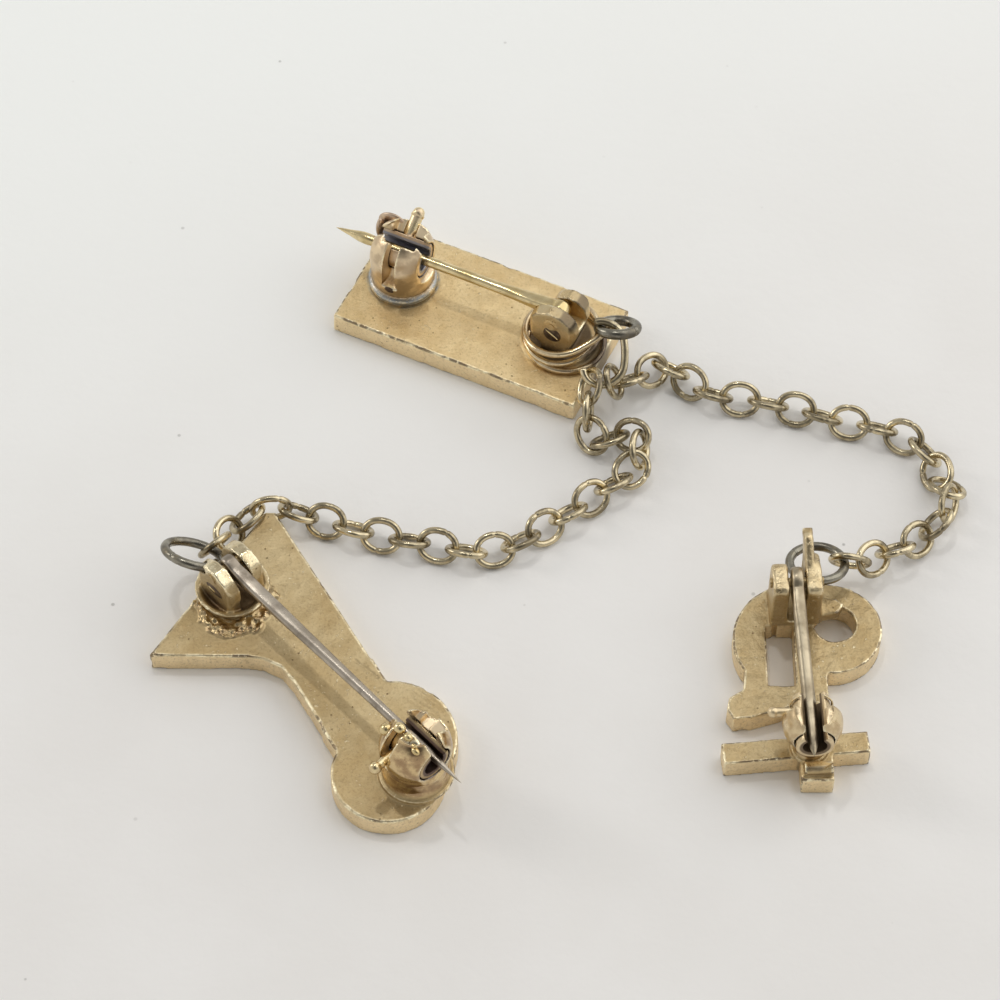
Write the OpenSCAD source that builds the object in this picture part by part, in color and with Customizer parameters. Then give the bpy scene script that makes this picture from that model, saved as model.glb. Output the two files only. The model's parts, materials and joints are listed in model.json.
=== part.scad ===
// Three plate brooches lying face down on a table, joined by two cable chains.
// Each has a riveted pin hinge and a ball-shaped safety catch with a turning sleeve.
// Sheet coordinates: x to the right, y away from the viewer, z up, millimetres.

/* [Plates] */
// Thickness of the three plates
plate_t = 1.6; // [1.5:0.05:1.7]
// Length of the bar plate
bar_l = 18.2; // [17.8:0.1:18.6]
// Width of the bar plate
bar_w = 9.1; // [8.8:0.1:9.4]
// Width of the fan plate's stem
fan_stem_w = 5.2; // [5:0.1:5.4]
// Radius of the round foot of the fan plate
fan_foot_r = 3.6; // [3.5:0.05:3.7]
// Outer radius of the bowl of the openwork plate
bowl_r = 3.4; // [3.3:0.05:3.5]
// Radius of the hole in that bowl
bowl_hole_r = 1.35; // [1.2:0.05:1.4]

/* [Pins and joints] */
// Diameter of a pin's wire
pin_d = 0.7; // [0.64:0.02:0.7]
// Height of the rivets above the plates
rivet_h = 3.1; // [3.05:0.05:3.15]
// Diameter of the rivets
rivet_d = 0.6; // [0.5:0.02:0.62]
// Thickness of a pin's flattened eye
eye_t = 1; // [0.9:0.02:1.04]
// Radius of a pin's flattened eye
eye_r = 0.7; // [0.66:0.01:0.72]
// Radius of a joint's round ears
ear_r = 1.75; // [1.65:0.05:1.8]
// Thickness of a joint's ears
ear_t = 0.9; // [0.8:0.05:1]
// Running gap between metal parts
gap = 0.12; // [0.1:0.01:0.13]

/* [Catches] */
// Outer radius of the two large ball catches
ball_r = 2.3; // [2.25:0.01:2.35]
// Outer radius of the small ball catch
small_ball_r = 1.9; // [1.85:0.01:1.95]
// Radius of the bore that a sleeve turns in
bore_r = 1.25; // [1.22:0.01:1.28]
// Inner radius of a turning sleeve
sleeve_r = 0.76; // [0.74:0.01:0.8]
// Diameter of a sleeve's lever
lever_d = 0.62; // [0.5:0.02:0.64]

/* [Wire work] */
// Wire diameter of the chain links
link_d = 0.4; // [0.36:0.01:0.4]
// Length of a chain link, outside
link_l = 2.86; // [2.84:0.01:2.88]
// Width of a chain link, outside
link_w = 2.44; // [2.4:0.01:2.46]
// Wire diameter of the dark jump rings
ring_d = 0.55; // [0.5:0.01:0.56]
// Wire diameter of the coil round the bar's joint
coil_d = 0.34; // [0.3:0.01:0.36]

/* [Hidden] */
$fn = 48;
eps = 0.01;

// The middle of the whole set on the table, in sheet coordinates
middle = [4.256, -1.45];
rivet_z = plate_t + rivet_h;
pin_r = pin_d / 2;
slot_w = eye_t + 2 * gap;
// The openwork brooch has a narrower eye and thicker, square ears
guard_eye_t = 0.8;
guard_eye_r = 1;
guard_slot_w = guard_eye_t + 2 * gap;
guard_ear_t = 1.1;
guard_tab_t = 0.65;
window_w = lever_d + 2 * gap;
// Radial clearance of a rivet in the ears and in the pin's eye
rivet_fit = 0.04;
eye_fit = 0.05;
// The round ears are trimmed to a disc of this radius
ear_reach = 2.05;

// Foot of each rivet on the table, and the way its pin points
bar_at = [4.06, 12.38];
bar_turn = 154.65;
fan_at = [-17.3, -8.4];
fan_turn = -47.2;
guard_at = [18.97, -9.7];
guard_turn = -88.03;
guard_outline_at = [18.97, -8.5];

// Pin length from the rivet to the point
bar_pin_l = 17;
fan_pin_l = 22;
guard_pin_l = 12.9;
// The openwork brooch's pin is a little thicker than the others
guard_pin_r = 0.42;

// Each catch: distance from the rivet, side step, ball radius, radius of its base.
// Angles run round the pin from its left side over the top.
bar_catch = [11.9, 0, ball_r, 2.05];
fan_catch = [18.1, -0.3, ball_r, 2.25];
guard_catch = [10.5, 0.1, small_ball_r, 1.05];
catch_half = 1.8;
mouth_l = 2.3;
// Angles where the ball's mouth, the sleeve's open side and the lever's window end
bar_angles = [62, 148, 50, 132, -50, 175];
fan_angles = [25, 100, 20, 106, 4, 201];
guard_angles = [58, 122, 50, 130, -4, 199];
// Each lever: its angle, its place along the ball, the radius of its bead's middle and
// the bead's own radius
bar_lever = [154, 0, 2.9, 0.42];
fan_lever = [180, -0.55, 2.85, 0.42];
guard_lever = [178, -0.8, 2.4, 0.36];

module on_table(at, turn) {
    translate([at[0] - middle[0], at[1] - middle[1], 0]) rotate([0, 0, turn]) children();
}
module in_sheet() {
    translate([-middle[0], -middle[1], 0]) children();
}

// A slice of a disc of radius r round the X axis, w long, between two angles
module slice(r, w, from, to) {
    rotate([90, 0, 90]) rotate([0, 0, from]) translate([0, 0, -w / 2])
        rotate_extrude(angle = to - from) square([r, w]);
}
// Children turned to an angle round the X axis, their own Z pointing outwards
module at_angle(a) {
    rotate([a - 90, 0, 0]) children();
}

// Ball with its bore, mouth, slot for the pin and window for the lever, on its base
module catch_ball(catch, angles, lever) {
    r = catch[2];
    far = r + 1;
    translate([catch[0], catch[1], rivet_z]) difference() {
        union() {
            intersection() {
                sphere(r);
                cube([2 * catch_half, 2 * far, 2 * far], center = true);
            }
            translate([0, 0, -rivet_h - eps])
                cylinder(r1 = catch[3], r2 = 0.8 * catch[3], h = rivet_h - bore_r);
            translate([0, 0, -rivet_h - eps]) cylinder(r = catch[3] + 0.15, h = 0.3);
        }
        rotate([0, 90, 0]) cylinder(r = bore_r, h = 2 * far, center = true);
        translate([0, -catch[1], far / 2])
            cube([2 * far, pin_d + 3 * gap, far], center = true);
        translate([-0.2, 0, 0]) slice(far, mouth_l, angles[0], angles[1]);
        translate([lever[1], 0, 0]) slice(far, window_w, angles[4], angles[5]);
    }
}

// Sleeve with one open side and its lever
module catch_sleeve(catch, angles, lever) {
    r = bore_r - gap / 2;
    translate([catch[0], catch[1], rivet_z]) {
        difference() {
            rotate([0, 90, 0]) cylinder(r = r, h = 2 * catch_half - 0.1, center = true);
            rotate([0, 90, 0]) cylinder(r = sleeve_r, h = 2 * catch_half + 1, center = true);
            slice(r + 1, 2 * catch_half + 1, angles[2], angles[3]);
        }
        translate([lever[1], 0, 0]) at_angle(lever[0]) {
            translate([0, 0, r - 0.2]) cylinder(d = lever_d, h = lever[2] - r + 0.2);
            translate([0, 0, lever[2]]) sphere(lever[3]);
        }
    }
}

// Two round ears with their necks, the slot for the pin's eye and the rivet's bore.
// Each ear: its radius, its middle ahead of the rivet, and how far it sits below it.
module ears(neck, slot_floor, left, right) {
    outer = slot_w / 2 + ear_t;
    difference() {
        intersection() {
            union() {
                ear(outer, outer, left);
                ear(0, outer, right);
                translate([neck[0], -outer, plate_t - eps])
                    cube([neck[1] - neck[0], 2 * outer, rivet_h - max(left[2], right[2])]);
            }
            translate([0, 0, plate_t - eps]) cylinder(r = ear_reach, h = 2 * rivet_h);
        }
        translate([0, 0, slot_floor + rivet_h])
            cube([3 * ear_r, slot_w, 2 * rivet_h], center = true);
        translate([0, 0, rivet_z]) rotate([90, 0, 0])
            cylinder(r = rivet_d / 2 + rivet_fit, h = 4 * outer, center = true);
    }
}

// One ear from its left face at y, t thick
module ear(y, t, shape) {
    translate([shape[1], y, rivet_z - shape[2]]) rotate([90, 0, 0])
        cylinder(r = shape[0], h = t);
}

module rivet(h = slot_w + 2 * ear_t + 0.2) {
    translate([0, 0, rivet_z]) rotate([90, 0, 0]) cylinder(d = rivet_d, h = h, center = true);
}

// Pin with its drilled eye, a root that thins into the wire, and a long point
module pin(length, point_l, eye, t, r = pin_r) {
    root_l = 3.6;
    translate([0, 0, rivet_z]) difference() {
        union() {
            rotate([90, 0, 0]) cylinder(r = eye, h = t, center = true);
            rotate([0, 90, 0]) cylinder(r1 = max(r, t / 2 - 0.02), r2 = r, h = root_l);
            rotate([0, 90, 0]) cylinder(r = r, h = length - point_l);
            translate([length - point_l, 0, 0]) rotate([0, 90, 0])
                cylinder(r1 = r, r2 = 0.06, h = point_l);
        }
        rotate([90, 0, 0]) cylinder(r = rivet_d / 2 + eye_fit, h = 3 * t, center = true);
    }
}

// Round ring: its middle, its mean radius, and its tilt and turn
fan_ring_at = [-19.77, -6.9, 3.76];
fan_ring_r = 1.92;
fan_ring_tilt = -38;
fan_ring_turn = -27;
guard_ring_at = [20.55, -7.05, 2.9];
guard_ring_r = 1.78;
guard_ring_tilt = -17;
guard_ring_turn = 0;
bar_ring_at = [7.94, 11.04, 4.52];
bar_ring_r = 1.27;
bar_ring_tilt = -30;
bar_ring_turn = 0;
// Hub link: its middle, length, width and slope; it is open on its left, and both chains
// hang on it
hub_at = [6.79, 9.3, 3.94];
hub_l = 4.7;
hub_w = 2.8;
hub_slope = 36.6;
hub_far_angle = 112;
module ring(at, r, tilt, turn, wire) {
    translate(at) rotate([tilt, 0, turn])
        rotate_extrude() translate([r, 0]) circle(d = wire);
}

// The bar's middle as seen from its rivet, its neck and ears, and the collar under the
// coil
bar_middle = [5.8, 0.3];
bar_neck = [-1.2, 0.75];
bar_front_ear = [ear_r, 0, 0.6];
bar_back_ear = [1.3, -0.45, 0.6];
collar_r = 2.7;
collar_h = 0.26;
module bar_plate() {
    color("darkkhaki") on_table(bar_at, bar_turn) {
        translate([bar_middle[0], bar_middle[1], plate_t / 2])
            cube([bar_l, bar_w, plate_t], center = true);
        catch_ball(bar_catch, bar_angles, bar_lever);
        ears(bar_neck, rivet_z - eye_r - 2 * gap, bar_front_ear, bar_back_ear);
        translate([0, 0, plate_t - eps])
            cylinder(r1 = collar_r, r2 = collar_r - 0.2, h = collar_h);
    }
}
module bar_rivet() {
    color("goldenrod") on_table(bar_at, bar_turn) rivet();
}
module bar_pin() {
    color("gold") on_table(bar_at, bar_turn) pin(bar_pin_l, 2.8, eye_r, eye_t);
}
module bar_sleeve() {
    color("peru") on_table(bar_at, bar_turn) catch_sleeve(bar_catch, bar_angles, bar_lever);
}

// Coil: a tilted helix round the joint's neck whose end rises through the bar's ring.
// It climbs by coil_pitch a turn; past tail_from it swings out and lifts.
coil_r = 2.5;
coil_at = [4.2, 12.2];
coil_from = 150;
coil_to = 800;
coil_z = 2.28;
coil_pitch = 1;
coil_tilt = 0.3;
coil_floor = 2.12;
tail_from = 750;
tail_reach = 0.95;
tail_lift = 0.56;
coil_steps = 48;
coil_sides = 6;
function tail(a) = max(0, a - tail_from) / 48;
function coil_height(a) = tail_lift * pow(tail(a), 3)
    + max(coil_floor, coil_z + coil_pitch * (a - 360) / 360 + coil_tilt * cos(a - 90));
function coil_reach(a) = coil_r + tail_reach * pow(tail(a), 2);
function coil_point(a, t) = let (r = coil_reach(a) + coil_d / 2 * cos(t))
    [r * cos(a - 90), r * sin(a - 90), coil_height(a) + coil_d / 2 * sin(t)];
module wire_coil() {
    points = [for (i = [0:coil_steps], k = [0:coil_sides - 1])
        coil_point(coil_from + (coil_to - coil_from) * i / coil_steps, 360 * k / coil_sides)];
    sides = [for (i = [0:coil_steps - 1], k = [0:coil_sides - 1])
        let (a = i * coil_sides, n = (k + 1) % coil_sides)
        [a + k, a + n, a + n + coil_sides, a + k + coil_sides]];
    last = coil_steps * coil_sides;
    ends = [[for (k = [coil_sides - 1:-1:0]) k], [for (k = [0:coil_sides - 1]) last + k]];
    color("rosybrown") on_table(coil_at, 0) polyhedron(points, concat(sides, ends));
}
module bar_ring() {
    color("dimgray") in_sheet()
        ring(bar_ring_at, bar_ring_r, bar_ring_tilt, bar_ring_turn, ring_d);
}

// Oval link along X, lying flat: its end rings, the far one through far_angle, and its sides
module link(l, w, d, sides = [-1, 1], far_angle = 180) {
    end_r = (w - d) / 2;
    straight = (l - w) / 2;
    for (s = [-1, 1])
        translate([s * straight, 0, 0]) rotate([0, 0, -90 * s])
            rotate_extrude(angle = s > 0 ? far_angle : 180) translate([end_r, 0])
                circle(d = d, $fn = 24);
    for (s = sides)
        translate([0, s * end_r, 0]) rotate([0, 90, 0])
            cylinder(d = d, h = 2 * straight, center = true, $fn = 24);
}
// A link between two points, rolled about the line that joins them
module link_between(p, q, roll) {
    v = q - p;
    translate((p + q) / 2) rotate([0, -asin(v[2] / norm(v)), atan2(v[1], v[0])])
        rotate([roll, 0, 0]) link(link_l, link_w, link_d);
}
module hub_ring() {
    color("darkkhaki") in_sheet() translate(hub_at) rotate([hub_slope, 0, 0])
        rotate([0, 0, 90]) link(hub_l, hub_w, link_d, [-1], hub_far_angle);
}

// Hooks of the two chains, one row a link: x, y, z where it hooks on, and its roll.
// The last row is the far end of the last link.
left_hooks = [
    [-18.92, -5.86, 2.87, 121], [-18.28, -4.59, 1.87, 48], [-17.28, -3.05, 1.24, 142],
    [-16.03, -1.76, 1.52, 86], [-14.22, -1.53, 1.27, 144], [-12.42, -2.04, 0.92, 42],
    [-10.58, -2.67, 0.89, 140], [-8.76, -3.25, 0.89, 40], [-6.89, -3.76, 0.88, 139],
    [-5.02, -4.07, 0.94, 44], [-3.15, -4.59, 0.92, 138], [-1.26, -4.88, 0.9, 41],
    [0.54, -4.42, 0.89, 139], [2.19, -3.42, 0.91, 42], [3.73, -2.29, 0.91, 138],
    [5.29, -1.14, 0.9, 44], [6.77, 0.06, 1.01, 135], [8.33, 1.22, 0.93, 26],
    [9.2, 2.19, 1.29, 62], [9.46, 4.09, 1.53, 135], [8.29, 4.62, 1.1, 41],
    [6.47, 4.01, 0.83, 135], [5.87, 4.99, 1.54, 80], [5.97, 6.63, 2.57, 130],
    [6.12, 7.99, 2.97, 130]];
right_hooks = [
    [7.39, 7.94, 2.93, 31], [7.97, 8.28, 1.77, 135], [9.59, 9.3, 1.42, 46],
    [11.05, 10.47, 1.08, 136], [12.2, 9.77, 1.05, 45], [13.58, 8.44, 0.88, 139],
    [15.3, 7.78, 0.93, 44], [17.22, 7.55, 0.94, 137], [19.07, 7.11, 0.91, 42],
    [20.93, 6.56, 0.92, 137], [22.58, 5.93, 0.93, 43], [24.48, 5.5, 0.91, 137],
    [26.3, 4.98, 0.95, 44], [27.96, 4.02, 0.92, 135], [28.95, 2.48, 1, 37],
    [29.35, 0.83, 0.77, 154], [30.06, -0.24, 1.2, 116], [29.33, -2.04, 1.25, 44],
    [28.17, -3.35, 0.86, 135], [26.69, -4.52, 1.28, 45], [25.08, -5.47, 1.61, 135],
    [23.57, -6.55, 2.19, 70], [21.91, -6.58, 2.76, 70]];
function place(hook) = [hook[0], hook[1], hook[2]];
module chain(hooks) {
    for (i = [0:len(hooks) - 2]) link_between(place(hooks[i]), place(hooks[i + 1]), hooks[i][3]);
}
module left_chain() {
    color("darkgray") in_sheet() chain(left_hooks);
}
module right_chain() {
    color("darkgray") in_sheet() chain(right_hooks);
}

// Fan outline, measured from its rivet: a wide wing, a stem and a round foot
fan_wing = [[2.5, 6.3], [1.8, 6.3], [-5.2, -4.85], [1.3, -4.95], [2.6, -5.2]];
fan_edge = [0.4985, -0.867];
fan_foot_at = [10.3, -13.5];
fan_lobe_at = [10.3, -11.1];
fan_lobe_r = 4.35;
fan_fillet = [[-2, -4.7], [0.5, -4.83], [2.07, -5.1], [2.91, -5.52], [3.34, -5.74],
              [3.7, -6.3], [4.25, -6.95], [5.3, -8.8], [6.6, -5.5], [2.5, -3.6]];
// Its joint's neck, and both ears, which sit low
fan_neck = [-1.55, 1.55];
fan_ear = [ear_r, 0, 1.1];
module fan_outline() {
    stem_turn = -60.1;
    stem_at = [5.18, 1.8];
    polygon(fan_wing);
    polygon(fan_fillet);
    intersection() {
        translate(stem_at) rotate([0, 0, stem_turn]) translate([-6, -fan_stem_w])
            square([22, fan_stem_w]);
        union() {
            polygon([[2.5, 6.3], [-0.7, 2], [2, -5.2], [6.3, -14], [14, -8], [9, -5]]);
            translate(fan_lobe_at) circle(fan_lobe_r);
        }
    }
    translate(fan_lobe_at) intersection() {
        circle(fan_lobe_r);
        rotate([0, 0, stem_turn]) translate([-5, -3.3]) square([10, 10]);
    }
    translate(fan_foot_at) circle(fan_foot_r);
}
module fan_plate() {
    color("darkkhaki") {
        on_table(fan_at, 0) linear_extrude(plate_t) fan_outline();
        on_table(fan_at, fan_turn) {
            catch_ball(fan_catch, fan_angles, fan_lever);
            difference() {
                union() {
                    ears(fan_neck, plate_t + 0.3, fan_ear, fan_ear);
                    cup();
                }
                fan_ring_room();
            }
        }
    }
}
cup_r = 2.45;
module cup() {
    translate([0, 0, plate_t - eps]) difference() {
        cylinder(r1 = cup_r - 0.35, r2 = cup_r, h = 0.8);
        translate([0, 0, 0.3]) cylinder(r1 = cup_r - 0.75, r2 = cup_r - 0.3, h = 0.52);
    }
}
// The ring's own path through the ear, with a running gap round it
module fan_ring_room() {
    rotate([0, 0, -fan_turn]) translate([-fan_at[0], -fan_at[1], 0])
        ring(fan_ring_at, fan_ring_r, fan_ring_tilt, fan_ring_turn, ring_d + 2 * gap);
}
module fan_rivet() {
    color("goldenrod") on_table(fan_at, fan_turn) rivet();
}
module fan_pin() {
    color("silver") on_table(fan_at, fan_turn) pin(fan_pin_l, 3.4, eye_r, eye_t);
}
module fan_sleeve() {
    color("peru") on_table(fan_at, fan_turn) catch_sleeve(fan_catch, fan_angles, fan_lever);
}
module fan_ring() {
    color("dimgray") in_sheet()
        ring(fan_ring_at, fan_ring_r, fan_ring_tilt, fan_ring_turn, ring_d);
}

// Low gusset at the foot of the openwork brooch's right ear
guard_gusset = [[1.3, -0.5], [2.7, -0.9], [3.15, -1.35], [2.8, -1.95], [1.3, -2.3]];

// Openwork outline, measured from its own foot point
module guard_outline() {
    difference() {
        guard_shape();
        translate([2.6, -2.35]) circle(bowl_hole_r);
    }
}
module guard_shape() {
    // the arm on the left with its foot
    difference() {
        translate([0.5, -3.6]) circle(4.5);
        translate([0.3, -3.9]) circle(2.25);
        translate([0.5, -9]) square([9, 6.5], center = true);
        translate([-1.9, -14.5]) square([7.5, 12]);
    }
    polygon([[-3.9, -3.4], [-1.87, -3.4], [-1.9, -7], [0.2, -7], [0.2, -8.4],
             [-3, -9.4], [-4.2, -9.5], [-4.6, -8.8], [-4.4, -7.9], [-3.5, -7.3],
             [-3.3, -5.6], [-3.85, -4.5]]);
    // the bowl, cut straight on its left, and the stem
    difference() {
        translate([2.25, -2.7]) circle(bowl_r);
        translate([-2.1, -8.45]) square([2, 6]);
    }
    translate([-0.1, -14]) square([2.05, 12]);
    // the bar across the stem
    translate([-0.35, -11.6]) rotate([0, 0, 5.6]) square([9.3, 1.5], center = true);
}
module guard_plate() {
    color("darkkhaki") {
        on_table(guard_outline_at, 0) {
            linear_extrude(plate_t) guard_outline();
            translate([0, 0, plate_t - eps]) linear_extrude(0.75) polygon(guard_gusset);
        }
        on_table(guard_at, guard_turn) {
            catch_ball(guard_catch, guard_angles, guard_lever);
            difference() {
                guard_ears();
                guard_ring_room();
            }
            translate([12.1, 0.55, plate_t + 0.3]) rotate([90, 0, 0])
                cylinder(r = 0.42, h = 1.8, center = true);
        }
    }
}
// Two square ears; the right one is longer and runs up into a thin tab that leans back
module guard_ears() {
    outer = guard_slot_w / 2 + guard_ear_t;
    low = plate_t - eps;
    top = rivet_z + 0.7;
    difference() {
        union() {
            upright(outer, 2 * outer) polygon([[-1.25, low], [1.25, low], [1.25, top - 0.3],
                [0.9, top], [-0.9, top], [-1.25, top - 0.3]]);
            upright(outer, guard_ear_t)
                polygon([[-2.15, low], [0, low], [0, top], [-0.9, top], [-2.15, top - 0.5]]);
            upright(guard_slot_w / 2 + guard_tab_t, guard_tab_t)
                polygon([[-0.9, top - 0.6], [-0.5, top], [-2.25, 6.55], [-2.85, 6.45],
                         [-3.3, 6.05], [-2.15, 4.6]]);
        }
        translate([0, 0, low + 0.4 + rivet_h])
            cube([4 * ear_r, guard_slot_w, 2 * rivet_h], center = true);
        translate([0, 0, rivet_z]) rotate([90, 0, 0])
            cylinder(r = rivet_d / 2 + rivet_fit, h = 4 * outer, center = true);
    }
}
// An outline drawn in X and Z, t thick, ending at y
module upright(y, t) {
    translate([0, y, 0]) rotate([90, 0, 0]) linear_extrude(t) children();
}
module guard_ring_room() {
    rotate([0, 0, -guard_turn]) translate([-guard_at[0], -guard_at[1], 0])
        ring(guard_ring_at, guard_ring_r, guard_ring_tilt, guard_ring_turn,
             ring_d + 2 * gap);
}
module guard_rivet() {
    color("goldenrod") on_table(guard_at, guard_turn)
        rivet(guard_slot_w + 2 * guard_ear_t + 0.2);
}
module guard_pin() {
    color("silver") on_table(guard_at, guard_turn)
        pin(guard_pin_l, 2.4, guard_eye_r, guard_eye_t, guard_pin_r);
}
module guard_sleeve() {
    color("peru") on_table(guard_at, guard_turn)
        catch_sleeve(guard_catch, guard_angles, guard_lever);
}
module guard_ring() {
    color("dimgray") in_sheet()
        ring(guard_ring_at, guard_ring_r, guard_ring_tilt, guard_ring_turn, ring_d);
}

bar_plate();
bar_rivet();
bar_pin();
bar_sleeve();
wire_coil();
bar_ring();
hub_ring();
left_chain();
right_chain();
fan_plate();
fan_rivet();
fan_pin();
fan_sleeve();
fan_ring();
guard_plate();
guard_rivet();
guard_pin();
guard_sleeve();
guard_ring();
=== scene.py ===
import json
import math
import bmesh
import bpy
import numpy as np
from mathutils import Matrix


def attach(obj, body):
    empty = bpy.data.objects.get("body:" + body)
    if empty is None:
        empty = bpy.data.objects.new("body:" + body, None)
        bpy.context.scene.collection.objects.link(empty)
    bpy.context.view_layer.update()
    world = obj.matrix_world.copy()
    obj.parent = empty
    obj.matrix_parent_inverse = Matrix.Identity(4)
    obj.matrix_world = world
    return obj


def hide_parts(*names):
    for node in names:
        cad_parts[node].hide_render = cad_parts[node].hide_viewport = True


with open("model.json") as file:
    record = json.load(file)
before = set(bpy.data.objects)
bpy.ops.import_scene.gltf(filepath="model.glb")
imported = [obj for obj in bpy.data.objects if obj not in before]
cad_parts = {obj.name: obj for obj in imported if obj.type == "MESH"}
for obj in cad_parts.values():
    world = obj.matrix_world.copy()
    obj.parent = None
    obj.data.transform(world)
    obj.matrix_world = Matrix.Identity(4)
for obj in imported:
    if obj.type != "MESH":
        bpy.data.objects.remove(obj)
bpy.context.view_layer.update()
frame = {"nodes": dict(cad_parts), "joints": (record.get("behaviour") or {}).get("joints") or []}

print("frame loaded")

# All shapes are worked out in millimetres and become metres when a mesh is made.
millimetre = 0.001
joints = {joint["name"]: joint for joint in frame["joints"]}
# Places such as the coil's are measured on the sheet where the object was laid out. sheetShift moves them
# into the frame: it is how far apart the bar's rivet is on the two.
barRivetOnSheet = np.array([4.06, 12.38, 4.7])
sheetShift = np.array(joints["bar_pin_hinge"]["pos_m"]) / millimetre - barRivetOnSheet


# Numpy helpers

def unit(v):
    return v / np.linalg.norm(v, axis=-1, keepdims=True)


def smooth(low, high, value):
    # 0 below low, 1 above high, and a soft S between them
    t = np.clip((value - low) / (high - low), 0, 1)
    return t * t * (3 - 2 * t)


def cloud(points, scale, seed):
    # soft random values from -1 to 1: a lattice of random numbers, read between its corners
    size = 24
    lattice = np.random.default_rng(seed).uniform(-1, 1, (size, size, size))
    spots = points * scale + 1000
    cell = np.floor(spots).astype(int)
    t = spots - cell
    t = t * t * (3 - 2 * t)
    total = np.zeros(len(points))
    for corner in np.ndindex(2, 2, 2):
        weight = np.prod(np.where(corner, t, 1 - t), axis=1)
        total += weight * lattice[tuple(((cell + corner) % size).T)]
    return total


def gridFaces(rows, columns, closedRows=False, closedColumns=True):
    # quads between the neighbouring points of a grid that may close on itself both ways
    r = np.arange(rows if closedRows else rows - 1)[:, None]
    c = np.arange(columns if closedColumns else columns - 1)[None, :]
    nextRow, nextColumn = (r + 1) % rows, (c + 1) % columns
    here, beyond = r * columns, nextRow * columns
    return np.stack([here + c, here + nextColumn, beyond + nextColumn, beyond + c], -1).reshape(-1, 4)


def sweep(path, up, width, height, sides=16, square=2.0, closed=False):
    # a section carried along a path: half width across it and half height along up, both one value a row,
    # round where square is 2 and boxier above that
    if closed:
        ahead = unit(np.roll(path, -1, 0) - np.roll(path, 1, 0))
    else:
        ahead = unit(np.gradient(path, axis=0))
    across = unit(np.cross(np.broadcast_to(up, path.shape), ahead))
    upright = np.cross(ahead, across)
    angle = np.linspace(0, 2 * math.pi, sides, endpoint=False)
    power = np.reshape(2 / np.broadcast_to(square, len(path)), (-1, 1))
    x = np.sign(np.cos(angle)) * np.abs(np.cos(angle)) ** power
    y = np.sign(np.sin(angle)) * np.abs(np.sin(angle)) ** power
    x = x * np.reshape(np.broadcast_to(width, len(path)), (-1, 1))
    y = y * np.reshape(np.broadcast_to(height, len(path)), (-1, 1))
    points = path[:, None] + across[:, None] * x[..., None] + upright[:, None] * y[..., None]
    return points.reshape(-1, 3), gridFaces(len(path), sides, closed)


def seat(jointName):
    # the joint's own frame: its origin, and rows that point along the pin, to its left and up
    joint = joints[jointName]
    origin = np.array(joint["pos_m"]) / millimetre
    axis = np.array(joint["axis"])
    along = axis if "sleeve" in jointName else np.cross(-axis, (0, 0, 1))
    return origin, np.array([along, np.cross((0, 0, 1), along), (0, 0, 1)])


# Making the pieces

def tidyMesh(name, points, faces):
    # a mesh in metres whose doubled points are merged and whose faces point outwards
    mesh = bpy.data.meshes.new(name)
    mesh.from_pydata((points * millimetre).tolist(), [], faces.tolist())
    shape = bmesh.new()
    shape.from_mesh(mesh)
    bmesh.ops.remove_doubles(shape, verts=shape.verts, dist=0.002 * millimetre)
    bmesh.ops.recalc_face_normals(shape, faces=shape.faces)
    shape.to_mesh(mesh)
    shape.free()
    return mesh


def place(name, mesh, material, body, node=None):
    # puts a mesh into the scene as a piece that rides on a body and stands for a CAD node
    mesh.materials.clear()
    mesh.materials.append(material)
    mesh.polygons.foreach_set("use_smooth", np.ones(len(mesh.polygons), bool))
    piece = bpy.data.objects.new(name, mesh)
    bpy.context.scene.collection.objects.link(piece)
    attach(piece, body)
    if node:
        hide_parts(node)
    return piece


def readPoints(mesh):
    points = np.empty(len(mesh.vertices) * 3)
    mesh.vertices.foreach_get("co", points)
    return points.reshape(-1, 3)


def writePoints(mesh, points):
    mesh.vertices.foreach_set("co", points.ravel())
    mesh.update()


def readNormals(mesh):
    normals = np.empty(len(mesh.vertices) * 3)
    mesh.vertices.foreach_get("normal", normals)
    return normals.reshape(-1, 3)


def readEdges(mesh):
    edges = np.empty(len(mesh.edges) * 2, int)
    mesh.edges.foreach_get("vertices", edges)
    return edges.reshape(-1, 2)


def neighbourMean(values, edges):
    # each point's mean over the points that it shares an edge with
    count = np.bincount(edges.ravel(), minlength=len(values))
    sums = [np.bincount(edges[:, 0], values[edges[:, 1], k], len(values))
            + np.bincount(edges[:, 1], values[edges[:, 0], k], len(values)) for k in range(values.shape[1])]
    return np.stack(sums, 1) / count[:, None]


def evenCopy(node, cell):
    # the CAD solid's surface in millimetres, merged and then remeshed in small even squares
    source = frame["nodes"][node].data.copy()
    source.transform(Matrix.Scale(1 / millimetre, 4))
    shape = bmesh.new()
    shape.from_mesh(source)
    bmesh.ops.remove_doubles(shape, verts=shape.verts, dist=0.0005)
    shape.to_mesh(source)
    shape.free()
    holder = bpy.data.objects.new("holder", source)
    bpy.context.scene.collection.objects.link(holder)
    remesh = holder.modifiers.new("even", "REMESH")
    remesh.mode = "VOXEL"
    remesh.voxel_size = cell
    solid = holder.evaluated_get(bpy.context.evaluated_depsgraph_get())
    mesh = bpy.data.meshes.new_from_object(solid)
    bpy.data.objects.remove(holder)
    bpy.data.meshes.remove(source)
    return mesh


def relax(points, edges, rounds):
    # smoothing that keeps the volume: a step towards the neighbours' mean and a slightly larger one back
    for step in [0.55, -0.57] * rounds:
        points = points + step * (neighbourMean(points, edges) - points)
    return points


def bulge(points, normals, edges, spread):
    # how far each point stands out of its neighbourhood: above 0 on edges, below 0 in corners
    away = points - neighbourMean(points, edges)
    value = np.sum(away * normals, 1)[:, None]
    for _ in range(spread):
        value = neighbourMean(value, edges)
    return value[:, 0]


def addMask(mesh, name, values):
    mesh.attributes.new(name, "FLOAT", "POINT").data.foreach_set("value", values.astype(np.float32))


# Shader maths

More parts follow.
